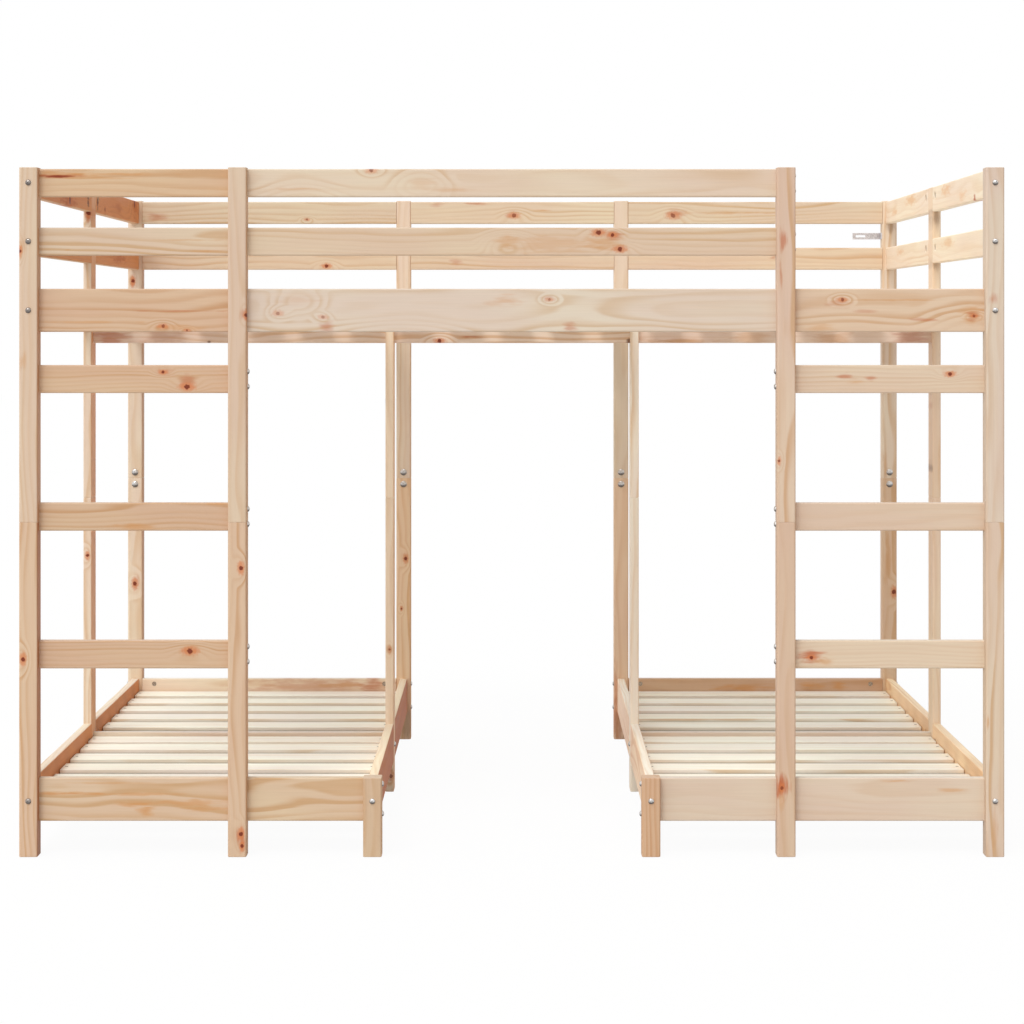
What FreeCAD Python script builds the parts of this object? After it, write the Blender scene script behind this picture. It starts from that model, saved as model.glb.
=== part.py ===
import FreeCAD, Part
import os
from collections import namedtuple
from types import SimpleNamespace

# Triple bunk bed of pine: one wide bed on eight posts over two narrow beds with an aisle between.
# X runs along the front, Y from front to back, Z up. The origin is on the floor under the middle.

SIZES = {
    # Outside of the bed, over the faces of the posts
    "bed_length": 2070,
    "bed_depth": 1490,
    "bed_height": 1449,
    # Square posts, each in two lengths with a seam between the beds
    "post_side": 39,
    "post_edge_radius": 4,
    "post_end_chamfer": 1,
    "post_seam_rise": 703,
    "foot_post_overrise": 3,
    "middle_post_width": 60,
    # Boards between the posts
    "board_thickness": 20,
    "board_edge_radius": 3,
    "narrow_board_height": 59,
    "wide_board_height": 91,
    # Levels of the boards, from the top down
    "guard_drop": 2.5,
    "guard_gap": 64.5,
    "rail_gap": 70,
    "rung_gap": 70,
    "lowest_rung_gap": 230.4,
    "lower_board_rise": 72,
    # Clear widths between posts along the front
    "ladder_bay_width": 399.6,
    "aisle_width": 546.8,
    # Beams half way back, and the cleats that carry the slats
    "lower_beam_rise": 80,
    "cleat_depth": 20,
    "cleat_height": 29,
    "lower_cleat_rise": 26,
    "lower_cleat_height": 20,
    "cleat_edge_radius": 1.5,
    # Slats
    "slat_width": 78,
    "slat_thickness": 12,
    "slat_edge_radius": 2,
    "slat_clearance": 2,
    "slat_pitch": 120,
    "lower_slat_pitch": 127,
    # Frame bolts with domed socket heads, threaded rods and their barrel nuts
    "bolt_radius": 3,
    "bolt_clearance": 0.25,
    "bolt_tip_run": 8,
    "bolt_head_radius": 6.2,
    "bolt_head_height": 4,
    "bolt_socket_radius": 2.3,
    "bolt_socket_depth": 2.4,
    "narrow_bolt_offset": 16,
    "wide_bolt_offset": 31.5,
    "nut_radius": 6,
    "middle_nut_radius": 9,
    "nut_clearance": 0.15,
    "nut_skin": 2,
    "nut_inset": 32,
    "middle_nut_inset": 35,
    "middle_rod_rise": 8,
    "beam_pin_run": 50,
    # Steel pins inside the seams of the posts, and their cross bolts
    "pin_radius": 5,
    "pin_length": 100,
    "middle_pin_radius": 4,
    "middle_pin_offset": 15,
    "seam_bolt_radius": 2.5,
    "seam_bolt_reach": 32,
    "seam_bolt_offset": 16,
    "seam_head_radius": 8.8,
    "seam_head_height": 4.5,
    # Countersunk wood screws
    "screw_radius": 1.75,
    "screw_clearance": 0.1,
    "screw_reach": 26,
    "screw_head_radius": 3.6,
    "screw_head_depth": 2.2,
    # Angled steel strap that ties the bed to a wall
    "strap_reach": 75,
    "strap_leg": 34,
    "strap_height": 17,
    "strap_thickness": 3,
    "strap_slot_length": 26,
    "strap_slot_width": 6,
    # Overrun of the tools that cut right through
    "overrun": 1,
}

# Rungs of each ladder below the rail of the top bed
RUNG_COUNT = 3
# Boxes that only touch lie within this much of each other.
TOUCH = 0.01

doc = FreeCAD.newDocument("TripleBunkBed")
sheet = doc.addObject("Spreadsheet::Sheet", "Sizes")
for row, (alias, value) in enumerate(SIZES.items(), start=1):
    sheet.set("A%d" % row, alias)
    sheet.set("B%d" % row, str(value))
    sheet.setAlias("B%d" % row, alias)
doc.recompute()


class Length:
    """A length, held as an expression of the sheet's cells and as its present value."""

    def __init__(self, text, value):
        self.text = text
        self.value = value

    def __add__(self, other):
        return Length("(%s + %s)" % (self.text, other.text), self.value + other.value)

    def __sub__(self, other):
        return Length("(%s - %s)" % (self.text, other.text), self.value - other.value)

    def __neg__(self):
        return Length("(0 - %s)" % self.text, -self.value)

    def __mul__(self, factor):
        return Length("(%s * %s)" % (self.text, factor), self.value * factor)

    def __truediv__(self, divisor):
        return Length("(%s / %s)" % (self.text, divisor), self.value / divisor)


ZERO = Length("0", 0)
size = SimpleNamespace(
    **{alias: Length("Sizes." + alias, value) for alias, value in SIZES.items()})

# Turn of a piece made along +Z, for each way it can point
UP = FreeCAD.Vector(0, 0, 1)
HEADINGS = {
    "+x": FreeCAD.Vector(1, 0, 0),
    "-x": FreeCAD.Vector(-1, 0, 0),
    "+y": FreeCAD.Vector(0, 1, 0),
    "-y": FreeCAD.Vector(0, -1, 0),
    "+z": UP,
    "-z": FreeCAD.Vector(0, 0, -1),
}
TURNS = {heading: FreeCAD.Rotation(UP, way) for heading, way in HEADINGS.items()}
QUARTER_TURN = FreeCAD.Rotation(UP, 90)
# A barrel nut lies across its board, with its thread along the row.
NUT_TURNS = {"x": TURNS["+y"], "y": TURNS["+x"] * QUARTER_TURN}
# Edges of a box that run along each axis
LONG_EDGES = {
    "x": ["Edge9", "Edge10", "Edge11", "Edge12"],
    "y": ["Edge2", "Edge4", "Edge6", "Edge8"],
    "z": ["Edge1", "Edge3", "Edge5", "Edge7"],
}

Span = namedtuple("Span", "low high")
Level = namedtuple("Level", "low height offset")

woods = {}
groups = {}
# Holes for shanks, and the wider holes that cross them
shank_bores = []
cross_bores = []


def place(item, point, turn=FreeCAD.Rotation()):
    """Turns an object and binds its place to the sheet."""
    item.Placement = FreeCAD.Placement(FreeCAD.Vector(), turn)
    for axis, amount in zip("xyz", point):
        item.setExpression("Placement.Base." + axis, amount.text)


def bind(item, **lengths):
    """Binds an object's sizes to the sheet."""
    for name, length in lengths.items():
        item.setExpression(name, length.text)


def wood(node, low, high, grain, radius):
    """A piece of wood between two opposite corners, its long edges rounded."""
    body = doc.addObject("PartDesign::Body", node + "_wood")
    blank = body.newObject("PartDesign::AdditiveBox", node + "_blank")
    bind(blank, Length=high[0] - low[0], Width=high[1] - low[1], Height=high[2] - low[2])
    eased = body.newObject("PartDesign::Fillet", node + "_eased")
    eased.Base = (blank, LONG_EDGES[grain])
    bind(eased, Radius=radius)
    place(body, low)
    woods.setdefault(node, []).append(body)
    return body


def cylinder(name, start, heading, radius, length):
    """A round bar or bore that starts at a point and runs along a heading."""
    bar = doc.addObject("Part::Cylinder", name)
    bind(bar, Radius=radius, Height=length)
    place(bar, start, TURNS[heading])
    return bar


def bore(family, start, heading, radius, length):
    """A round hole, which cuts every piece of wood that it meets."""
    family.append(cylinder("bore", start, heading, radius, length))


def copy_of(master, point, turn, node):
    """A copy of a fixing at a point, as one more piece of a node."""
    link = doc.addObject("App::Link", node + "_copy")
    link.LinkedObject = master
    place(link, point, turn)
    groups.setdefault(node, []).append(link)


# Fixings, each made once along +Z from the face that its head sits on

def domed_bolt(name, radius, reach, head_radius, head_height):
    """A bolt whose low domed head has a hexagon socket."""
    body = doc.addObject("PartDesign::Body", name)
    shank = body.newObject("PartDesign::AdditiveCylinder", name + "_shank")
    bind(shank, Radius=radius, Height=reach)
    head = body.newObject("PartDesign::AdditiveEllipsoid", name + "_head")
    head.Angle1 = -90
    head.Angle2 = 0
    bind(head, Radius1=head_height, Radius2=head_radius, Radius3=head_radius)
    socket = body.newObject("PartDesign::SubtractivePrism", name + "_socket")
    socket.Polygon = 6
    bind(socket, Circumradius=size.bolt_socket_radius, Height=size.bolt_socket_depth + size.overrun)
    place(socket, (ZERO, ZERO, -head_height - size.overrun))
    return body


def barrel_nut(name, radius):
    """A round nut with a thread across its middle."""
    body = doc.addObject("PartDesign::Body", name)
    barrel = body.newObject("PartDesign::AdditiveCylinder", name + "_barrel")
    bind(barrel, Radius=radius, Height=NUT_LENGTH)
    place(barrel, (ZERO, ZERO, -NUT_LENGTH / 2))
    thread = body.newObject("PartDesign::SubtractiveCylinder", name + "_thread")
    reach = radius + size.overrun
    bind(thread, Radius=size.bolt_radius + size.nut_clearance, Height=reach * 2)
    place(thread, (-reach, ZERO, ZERO), TURNS["+x"])
    return body


def wood_screw():
    """A screw with a countersunk head."""
    body = doc.addObject("PartDesign::Body", "wood_screw")
    shank = body.newObject("PartDesign::AdditiveCylinder", "wood_screw_shank")
    bind(shank, Radius=size.screw_radius, Height=size.screw_reach)
    head = body.newObject("PartDesign::AdditiveCone", "wood_screw_head")
    bind(head, Radius1=size.screw_head_radius, Radius2=size.screw_radius,
         Height=size.screw_head_depth)
    return body


NUT_LENGTH = size.board_thickness - size.nut_skin * 2
BOLT_REACH = size.post_side + size.nut_inset + size.bolt_tip_run
BOLT_BORE = size.bolt_radius + size.bolt_clearance
frame_bolt = domed_bolt(
    "frame_bolt", size.bolt_radius, BOLT_REACH, size.bolt_head_radius, size.bolt_head_height)
seam_bolt = domed_bolt(
    "seam_bolt", size.seam_bolt_radius, size.seam_bolt_reach,
    size.seam_head_radius, size.seam_head_height)
nut = barrel_nut("barrel_nut", size.nut_radius)
middle_nut = barrel_nut("middle_barrel_nut", size.middle_nut_radius)
screw = wood_screw()


def add_bolt(start, heading):
    """A frame bolt and its hole."""
    copy_of(frame_bolt, start, TURNS[heading], "frame_bolts")
    bore(shank_bores, start, heading, BOLT_BORE, BOLT_REACH + size.overrun)


def add_rod(start, heading, length):
    """A threaded rod through a post, and its hole."""
    groups.setdefault("rods_and_pins", []).append(
        cylinder("joining_rod", start, heading, size.bolt_radius, length))
    bore(shank_bores, start, heading, BOLT_BORE, length)


def add_nut(axis, along, across, rise, open_side, wide=False):
    """A barrel nut in a hole from one face of its board."""
    radius = size.middle_nut_radius if wide else size.nut_radius
    master = middle_nut if wide else nut
    copy_of(master, on_row(axis, along, across, rise), NUT_TURNS[axis], "barrel_nuts")
    face = across + size.board_thickness * open_side / 2
    heading = ("-" if open_side > 0 else "+") + ("y" if axis == "x" else "x")
    bore(cross_bores, on_row(axis, along, face, rise), heading,
         radius + size.nut_clearance, size.board_thickness - size.nut_skin)


def on_row(axis, along, across, rise):
    """A point on a row of boards that runs along X or Y."""
    return (along, across, rise) if axis == "x" else (across, along, rise)


def fix_ends(axis, row, across, rises, open_side):
    """Bolts through the posts at both ends of a row."""
    first = row[0].low
    last = row[-1].high
    for rise in rises:
        add_bolt(on_row(axis, first - size.post_side, across, rise), "+" + axis)
        add_nut(axis, first + size.nut_inset, across, rise, open_side)
        add_bolt(on_row(axis, last + size.post_side, across, rise), "-" + axis)
        add_nut(axis, last - size.nut_inset, across, rise, open_side)


def fix_joints(axis, row, across, rises, inset, open_side, wide=False):
    """Rods through the posts between the boards of a row."""
    for before, after in zip(row, row[1:]):
        start = before.high - inset - size.bolt_tip_run
        end = after.low + inset + size.bolt_tip_run
        for rise in rises:
            add_rod(on_row(axis, start, across, rise), "+" + axis, end - start)
            add_nut(axis, before.high - inset, across, rise, open_side, wide)
            add_nut(axis, after.low + inset, across, rise, open_side, wide)


# Places that the pieces share, worked out from the sizes

half_length = size.bed_length / 2
half_depth = size.bed_depth / 2
corner_face = half_length - size.post_side
inner_post_far = corner_face - size.ladder_bay_width
inner_post_near = inner_post_far - size.post_side
foot_near = size.aisle_width / 2
foot_far = foot_near + size.post_side
inner_plane = half_depth - size.post_side
board_centre = inner_plane + size.board_thickness / 2
side_inset = (size.post_side - size.board_thickness) / 2
side_near = corner_face + side_inset
side_far = side_near + size.board_thickness
side_centre = half_length - size.post_side / 2
aisle_near = foot_near + side_inset
aisle_far = aisle_near + size.board_thickness
aisle_centre = foot_near + size.post_side / 2
middle_face = size.middle_post_width / 2
beam_face = size.board_thickness / 2

top_guard = Level(
    size.bed_height - size.guard_drop - size.narrow_board_height,
    size.narrow_board_height, size.narrow_bolt_offset)
lower_guard = Level(
    top_guard.low - size.guard_gap - size.narrow_board_height,
    size.narrow_board_height, size.narrow_bolt_offset)
rail = Level(
    lower_guard.low - size.rail_gap - size.wide_board_height,
    size.wide_board_height, size.wide_bolt_offset)
lower_board = Level(size.lower_board_rise, size.wide_board_height, size.wide_bolt_offset)
first_rung = rail.low - size.rung_gap - size.narrow_board_height
last_rung = lower_board.low + lower_board.height + size.lowest_rung_gap
rung_pitch = (first_rung - last_rung) / (RUNG_COUNT - 1)
rungs = [
    Level(first_rung - rung_pitch * step, size.narrow_board_height, size.narrow_bolt_offset)
    for step in range(RUNG_COUNT)]

slat_level = rail.low + size.cleat_height
slat_top = slat_level + size.slat_thickness
lower_beam_top = size.lower_beam_rise + size.narrow_board_height
lower_slat_level = size.lower_board_rise + size.lower_cleat_rise + size.lower_cleat_height

SIDES = {"left": -1, "right": 1}


def mirrored(side, near, far):
    """The span between two distances from the middle, on the left or on the right."""
    return Span(near, far) if SIDES[side] > 0 else Span(-far, -near)


def middle_of(level):
    """Half way up a board."""
    return level.low + level.height / 2


def bolt_rises(level):
    """The two bolts one above the other at the end of a board."""
    return [middle_of(level) - level.offset, middle_of(level) + level.offset]


# Square posts in two lengths, with a steel pin and two cross bolts in each seam

def seam_pin(node, along, deep, radius):
    """A pin upright in the seam of a post."""
    start = (along, deep, size.post_seam_rise - size.pin_length / 2)
    bore(cross_bores, start, "+z", radius + size.bolt_clearance, size.pin_length)
    pin = cylinder("seam_pin", start, "+z", radius, size.pin_length)
    groups.setdefault(node, []).append(pin)
    return pin


def square_post(name, span, depths, inner_face, heading):
    """A full post, the pin in its seam and the bolts that cross the pin."""
    lengths = {"lower": Span(ZERO, size.post_seam_rise),
               "upper": Span(size.post_seam_rise, size.bed_height)}
    for part, heights in lengths.items():
        wood("%s_%s" % (name, part), (span.low, depths.low, heights.low),
             (span.high, depths.high, heights.high), "z", size.post_edge_radius)
    along = (span.low + span.high) / 2
    deep = (depths.low + depths.high) / 2
    pin = seam_pin("crossed_pins", along, deep, size.pin_radius)
    for way in (-1, 1):
        rise = size.post_seam_rise + size.seam_bolt_offset * way
        start = (along, inner_face, rise)
        copy_of(seam_bolt, start, TURNS[heading], "frame_bolts")
        bore(shank_bores, start, heading, size.seam_bolt_radius + size.bolt_clearance,
             size.seam_bolt_reach + size.overrun)
        crossed_pins.append((pin, shank_bores[-1]))


crossed_pins = []
front = Span(-half_depth, -inner_plane)
back = Span(inner_plane, half_depth)
for side in SIDES:
    corner = mirrored(side, corner_face, half_length)
    inner = mirrored(side, inner_post_near, inner_post_far)
    foot = mirrored(side, foot_near, foot_far)
    square_post("front_%s_corner_post" % side, corner, front, front.high, "-y")
    square_post("front_%s_inner_post" % side, inner, front, front.high, "-y")
    square_post("back_%s_corner_post" % side, corner, back, back.low, "+y")
    square_post("back_%s_inner_post" % side, foot, back, back.low, "+y")
    wood("%s_foot_post" % side, (foot.low, front.low, ZERO),
         (foot.high, front.high, size.lower_board_rise + size.wide_board_height
          + size.foot_post_overrise), "z", size.post_edge_radius)

# Flat posts half way back: outside ones up to the guards, aisle ones up to the top slats

for side in SIDES:
    flat_posts = {
        "%s_middle_post" % side: (mirrored(side, side_near, side_far),
                                  size.bed_height - size.guard_drop),
        "%s_aisle_post" % side: (mirrored(side, aisle_near, aisle_far), slat_level),
    }
    for node, (span, top) in flat_posts.items():
        for low, high in ((ZERO, size.post_seam_rise), (size.post_seam_rise, top)):
            wood(node, (span.low, -middle_face, low), (span.high, middle_face, high),
                 "z", size.board_edge_radius)
        for way in (-1, 1):
            seam_pin("rods_and_pins", (span.low + span.high) / 2,
                     size.middle_pin_offset * way, size.middle_pin_radius)


# Boards along the front and the back

def long_boards(nodes, row, depths, level, open_side):
    """A row of boards along X between posts, with its bolts, rods and nuts."""
    for node, span in zip(nodes, row):
        wood(node, (span.low, depths.low, level.low),
             (span.high, depths.high, level.low + level.height), "x", size.board_edge_radius)
    across = (depths.low + depths.high) / 2
    fix_ends("x", row, across, bolt_rises(level), open_side)
    fix_joints("x", row, across, bolt_rises(level), size.nut_inset, open_side)


front_board = Span(-inner_plane - size.board_thickness, -inner_plane)
back_board = Span(inner_plane, inner_plane + size.board_thickness)
left_bay = mirrored("left", inner_post_far, corner_face)
right_bay = mirrored("right", inner_post_far, corner_face)
middle_bay = Span(-inner_post_near, inner_post_near)
guard_levels = {"top_guard": top_guard, "lower_guard": lower_guard}

for name, level in guard_levels.items():
    long_boards(["front_left_" + name, "front_middle_" + name], [left_bay, middle_bay],
                front_board, level, 1)
long_boards(["front_left_rail", "front_middle_rail", "front_right_rail"],
            [left_bay, middle_bay, right_bay], front_board, rail, 1)
for level in rungs:
    long_boards(["left_ladder_rungs"], [left_bay], front_board, level, 1)
    long_boards(["right_ladder_rungs"], [right_bay], front_board, level, 1)

back_row = [mirrored("left", foot_far, corner_face), Span(-foot_near, foot_near),
            mirrored("right", foot_far, corner_face)]
back_levels = {"back_top_guards": top_guard, "back_lower_guards": lower_guard,
               "back_rails": rail}
for node, level in back_levels.items():
    long_boards([node] * len(back_row), back_row, back_board, level, 1)

for side in SIDES:
    lower_row = [mirrored(side, foot_far, inner_post_near),
                 mirrored(side, inner_post_far, corner_face)]
    lower_row.sort(key=lambda span: span.low.value)
    long_boards(["%s_bed_front_boards" % side] * len(lower_row), lower_row, front_board,
                lower_board, 1)
    long_boards(["%s_bed_back_board" % side], [mirrored(side, foot_far, corner_face)],
                back_board, lower_board, -1)


# Boards along the short sides and beside the aisle, in halves that meet at the flat posts

def side_boards(node, side, near, far, level, inward):
    """Two boards along Y, bolted to the posts and joined by a rod through the flat post."""
    span = mirrored(side, near, far)
    row = [Span(-inner_plane, -middle_face), Span(middle_face, inner_plane)]
    for half in row:
        wood(node, (span.low, half.low, level.low), (span.high, half.high, level.low + level.height),
             "y", size.board_edge_radius)
    across = (span.low + span.high) / 2
    fix_ends("y", row, across, [middle_of(level)], -inward)
    fix_joints("y", row, across, [middle_of(level) + size.middle_rod_rise],
               size.middle_nut_inset, inward, wide=True)


side_levels = {"side_top_guards": top_guard, "side_lower_guards": lower_guard,
               "side_rails": rail, "bed_outer_side_boards": lower_board}
for side, sign in SIDES.items():
    for name, level in side_levels.items():
        side_boards("%s_%s" % (side, name), side, side_near, side_far, level, -sign)
    side_boards("%s_bed_aisle_side_boards" % side, side, aisle_near, aisle_far,
                lower_board, sign)


# Beams half way back: the top one carries the slats at their middle

def beam(node, span, top):
    """One beam between two flat posts."""
    wood(node, (span.low, -beam_face, top - size.narrow_board_height),
         (span.high, beam_face, top), "x", size.board_edge_radius)


top_beams = [mirrored("left", aisle_far, side_near), Span(-aisle_near, aisle_near),
             mirrored("right", aisle_far, side_near)]
top_beam_middle = slat_level - size.narrow_board_height / 2
lower_beam_middle = size.lower_beam_rise + size.narrow_board_height / 2
for span in top_beams:
    beam("top_middle_beam", span, slat_level)
for side, sign in SIDES.items():
    beam("lower_middle_beams", mirrored(side, aisle_far, side_near), lower_beam_top)
    inward = "-x" if sign > 0 else "+x"
    outward = "+x" if sign > 0 else "-x"
    for rise in (top_beam_middle, lower_beam_middle):
        add_bolt((side_far * sign, ZERO, rise), inward)
    add_bolt((aisle_near * sign, ZERO, lower_beam_middle), outward)
    pin_start = (aisle_near - size.beam_pin_run) * sign
    add_rod((pin_start, ZERO, top_beam_middle), outward,
            size.beam_pin_run * 2 + size.board_thickness)

# Cleats inside the long rails of the top bed and inside the side boards of the lower beds

for row, low in (([left_bay, middle_bay, right_bay], -inner_plane),
                 (back_row, inner_plane - size.cleat_depth)):
    for span in row:
        wood("top_cleats", (span.low, low, rail.low),
             (span.high, low + size.cleat_depth, slat_level), "x", size.cleat_edge_radius)
cleat_end = beam_face + size.slat_clearance
for side in SIDES:
    for near in (aisle_far, side_near - size.cleat_depth):
        span = mirrored(side, near, near + size.cleat_depth)
        for half in (Span(-inner_plane, -cleat_end), Span(cleat_end, inner_plane)):
            wood("lower_cleats",
                 (span.low, half.low, lower_slat_level - size.lower_cleat_height),
                 (span.high, half.high, lower_slat_level), "y", size.cleat_edge_radius)


# Slats, screwed down where they rest: one is made for each bed level and the others are copies

def add_screw(point, heading="-z"):
    """A screw and its hole."""
    copy_of(screw, point, TURNS[heading], "wood_screws")
    bore(shank_bores, point, heading, size.screw_radius + size.screw_clearance,
         size.screw_reach + size.overrun)


def countersink(point, heading="-z"):
    """The seat of a screw's head."""
    seat = doc.addObject("Part::Cone", "countersink")
    bind(seat, Radius1=size.screw_head_radius + size.screw_clearance,
         Radius2=size.screw_radius + size.screw_clearance, Height=size.screw_head_depth)
    place(seat, point, TURNS[heading])
    cross_bores.append(seat)


def slats(node, low, high, grain, screw_points, steps):
    """Alike slats, each a given step away from the first."""
    wood(node, low, high, grain, size.slat_edge_radius)
    for point in screw_points:
        countersink(point)
    for step in steps:
        for point in screw_points:
            add_screw(tuple(place_now + move for place_now, move in zip(point, step)))
    slat_steps[node] = steps[1:]


slat_steps = {}
half_slat = size.slat_width / 2
screw_inset = size.cleat_depth / 2
outermost = int((side_near.value - half_slat.value) / size.slat_pitch.value)
top_steps = [(size.slat_pitch * index, ZERO, ZERO)
             for index in sorted(range(-outermost, outermost + 1), key=abs)]
slats("top_slats",
      (-half_slat, -inner_plane + size.slat_clearance, slat_level),
      (half_slat, inner_plane - size.slat_clearance, slat_top), "y",
      [(ZERO, -inner_plane + screw_inset, slat_top), (ZERO, ZERO, slat_top),
       (ZERO, inner_plane - screw_inset, slat_top)],
      top_steps)

lower_first = inner_plane - size.slat_clearance - half_slat
beside_beam = beam_face + size.slat_clearance + half_slat
lower_room = lower_first - beside_beam - size.slat_width - size.slat_clearance
lower_count = 1 + int(lower_room.value / size.lower_slat_pitch.value)
lower_slat_top = lower_slat_level + size.slat_thickness
lower_steps = [(ZERO, -size.lower_slat_pitch * index, ZERO) for index in range(lower_count)]
lower_steps += [(ZERO, size.lower_slat_pitch * index - lower_first * 2, ZERO)
                for index in range(lower_count)]
lower_steps.append((ZERO, -lower_first - beside_beam, ZERO))
for side in SIDES:
    span = mirrored(side, aisle_far, side_near)
    slats("%s_bed_slats" % side,
          (span.low + size.slat_clearance, lower_first - half_slat, lower_slat_level),
          (span.high - size.slat_clearance, lower_first + half_slat, lower_slat_top), "x",
          [(span.low + screw_inset, lower_first, lower_slat_top),
           (span.high - screw_inset, lower_first, lower_slat_top)],
          lower_steps)


# Steel strap for the wall, angled around the inner side of the back right corner post

def wall_strap():
    """A long slotted leg along the wall, and a short leg screwed to the post."""
    low = lower_guard.low + lower_guard.height + (size.guard_gap - size.strap_height) / 2
    long_leg = doc.addObject("Part::Box", "strap_long_leg")
    bind(long_leg, Length=size.strap_reach, Width=size.strap_thickness, Height=size.strap_height)
    place(long_leg, (corner_face - size.strap_reach, half_depth - size.strap_thickness, low))
    short_leg = doc.addObject("Part::Box", "strap_short_leg")
    bind(short_leg, Length=size.strap_thickness, Width=size.strap_leg, Height=size.strap_height)
    place(short_leg, (corner_face - size.strap_thickness, half_depth - size.strap_leg, low))
    angle = doc.addObject("Part::Fuse", "strap_angle")
    angle.Base = long_leg
    angle.Tool = short_leg
    slot = doc.addObject("Part::Box", "strap_slot")
    bind(slot, Length=size.strap_slot_length, Width=size.strap_thickness + size.overrun * 2,
         Height=size.strap_slot_width)
    place(slot, (corner_face - size.strap_reach + size.strap_height / 2,
                 half_depth - size.strap_thickness - size.overrun,
                 low + (size.strap_height - size.strap_slot_width) / 2))
    slotted = doc.addObject("Part::Cut", "strap_slotted")
    slotted.Base = angle
    slotted.Tool = slot
    head = (corner_face - size.strap_thickness, half_depth - size.strap_leg / 2,
            low + size.strap_height / 2)
    add_screw(head, "+x")
    countersink(head, "+x")
    return slotted


def cut_from(piece, tools, name):
    """A piece with some holes cut out of it, none of which cross each other."""
    if not tools:
        return piece
    cut = doc.addObject("Part::Cut", name)
    cut.Base = piece
    cut.Tool = tools[0]
    if len(tools) > 1:
        cut.Tool = doc.addObject("Part::Compound", name + "_holes")
        cut.Tool.Links = tools
    return cut


woods["wall_strap"] = [wall_strap()]
doc.recompute()

# Small chamfers around both ends of every post

UPRIGHT_WORDS = ("_post", "_post_lower", "_post_upper")
for node, pieces in woods.items():
    if not node.endswith(UPRIGHT_WORDS):
        continue
    for body in pieces:
        eased = body.Tip
        ends = ["Face%d" % number for number, face in enumerate(eased.Shape.Faces, start=1)
                if abs(face.normalAt(0, 0).z) > 1 - TOUCH]
        chamfer = body.newObject("PartDesign::Chamfer", node + "_ends")
        chamfer.Base = (eased, ends)
        bind(chamfer, Size=size.post_end_chamfer)
doc.recompute()


def meets(piece, tool):
    """Whether the boxes of two objects overlap, and don't only touch."""
    one = piece.Shape.BoundBox
    other = tool.Shape.BoundBox
    return (one.XMin + TOUCH < other.XMax and other.XMin + TOUCH < one.XMax
            and one.YMin + TOUCH < other.YMax and other.YMin + TOUCH < one.YMax
            and one.ZMin + TOUCH < other.ZMax and other.ZMin + TOUCH < one.ZMax)


# Holes in the wood and in the pins, then one finished object for each node

finished = {}
for node, pieces in woods.items():
    for piece in pieces:
        drilled = piece
        for family in (shank_bores, cross_bores):
            tools = [tool for tool in family if meets(piece, tool)]
            drilled = cut_from(drilled, tools, node + "_drilled")
        finished.setdefault(node, []).append(drilled)
for node, steps in slat_steps.items():
    for step in steps:
        link = doc.addObject("App::Link", node + "_copy")
        link.LinkedObject = finished[node][0]
        place(link, step)
        finished[node].append(link)
for pin in groups.pop("crossed_pins"):
    tools = [tool for crossed, tool in crossed_pins if crossed is pin]
    finished.setdefault("rods_and_pins", []).append(cut_from(pin, tools, "seam_pin_crossed"))
for node, pieces in groups.items():
    finished.setdefault(node, []).extend(pieces)

parts = {}
for node, pieces in finished.items():
    part = pieces[0]
    if len(pieces) > 1:
        part = doc.addObject("Part::Compound", node + "_group")
        part.Links = pieces
    parts[node] = part
doc.recompute()

for item in doc.Objects:
    if "Invalid" in item.State or "Error" in item.State:
        raise RuntimeError("%s is %s" % (item.Name, item.State))
for node, part in parts.items():
    part.Label = node
    shape = part.Shape
    if shape.isNull() or not shape.isValid() or not shape.Solids:
        raise RuntimeError("%s has no valid shape" % node)

os.makedirs("parts", exist_ok=True)
for node, part in parts.items():
    part.Shape.exportStep("parts/%s.step" % node)
    print("%-32s %4d solids" % (node, len(part.Shape.Solids)))
print("%d nodes" % len(parts))
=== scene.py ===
import math
import bpy
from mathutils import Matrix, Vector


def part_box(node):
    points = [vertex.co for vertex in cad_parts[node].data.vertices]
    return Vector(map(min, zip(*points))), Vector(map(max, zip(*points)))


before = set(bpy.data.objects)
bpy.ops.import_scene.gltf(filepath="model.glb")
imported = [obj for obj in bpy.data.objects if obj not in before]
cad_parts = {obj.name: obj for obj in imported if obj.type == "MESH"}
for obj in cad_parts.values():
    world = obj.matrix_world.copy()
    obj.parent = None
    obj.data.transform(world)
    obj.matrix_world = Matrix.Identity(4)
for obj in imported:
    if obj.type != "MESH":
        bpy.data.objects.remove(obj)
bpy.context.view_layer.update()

# Camera, worked out from the photograph: its lines meet at one point, level with the guards
PHOTO_SIDE = 1024
VANISHING_POINT = (514.5, 320.8)
FRONT_PIXELS_PER_METRE = 476.2
FRONT_FACE = -0.745
CAMERA_DISTANCE = 5.15
CAMERA_ALONG = 0.0058
CAMERA_RISE = 1.1264
SENSOR_WIDTH = 36.0

# Colours, as sRGB
PINE = (218, 191, 165)
SLAT = (252, 243, 228)
KNOT_CORE = (118, 42, 14)
KNOT_HALO = (206, 120, 68)
HONEY = (230, 176, 112)
ORANGE = (202, 144, 86)
RED = (184, 98, 54)
DEEP_RED = (128, 46, 14)
UMBER = (104, 58, 34)
STEEL_LIGHT = (232, 230, 228)
STEEL_DARK = (176, 173, 170)
# Painted shade for bolts: on their undersides, and in the front left corner
STEEL_PAINTED_UNDERSIDE_SHADE = (116, 110, 106)
STEEL_PAINTED_FRONT_SHADE = (160, 152, 146)
STRAP_LIGHT = (236, 233, 236)
STRAP_DARK = (196, 194, 198)
NUT_LIGHT = (196, 184, 170)
NUT_DARK = (132, 120, 108)
SCREW_GREY = (112, 108, 102)


def linear(colour, shares=(1.0, 1.0, 1.0)):
    """An sRGB colour from 0 to 255, as the linear colour that a shader takes, times some shares."""
    parts = []
    for part, share in zip(colour, shares):
        level = part / 255
        level = level / 12.92 if level <= 0.04045 else ((level + 0.055) / 1.055) ** 2.4
        parts.append(level * share)
    return (*parts, 1.0)


# Small helpers that add shader nodes and join them

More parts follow.
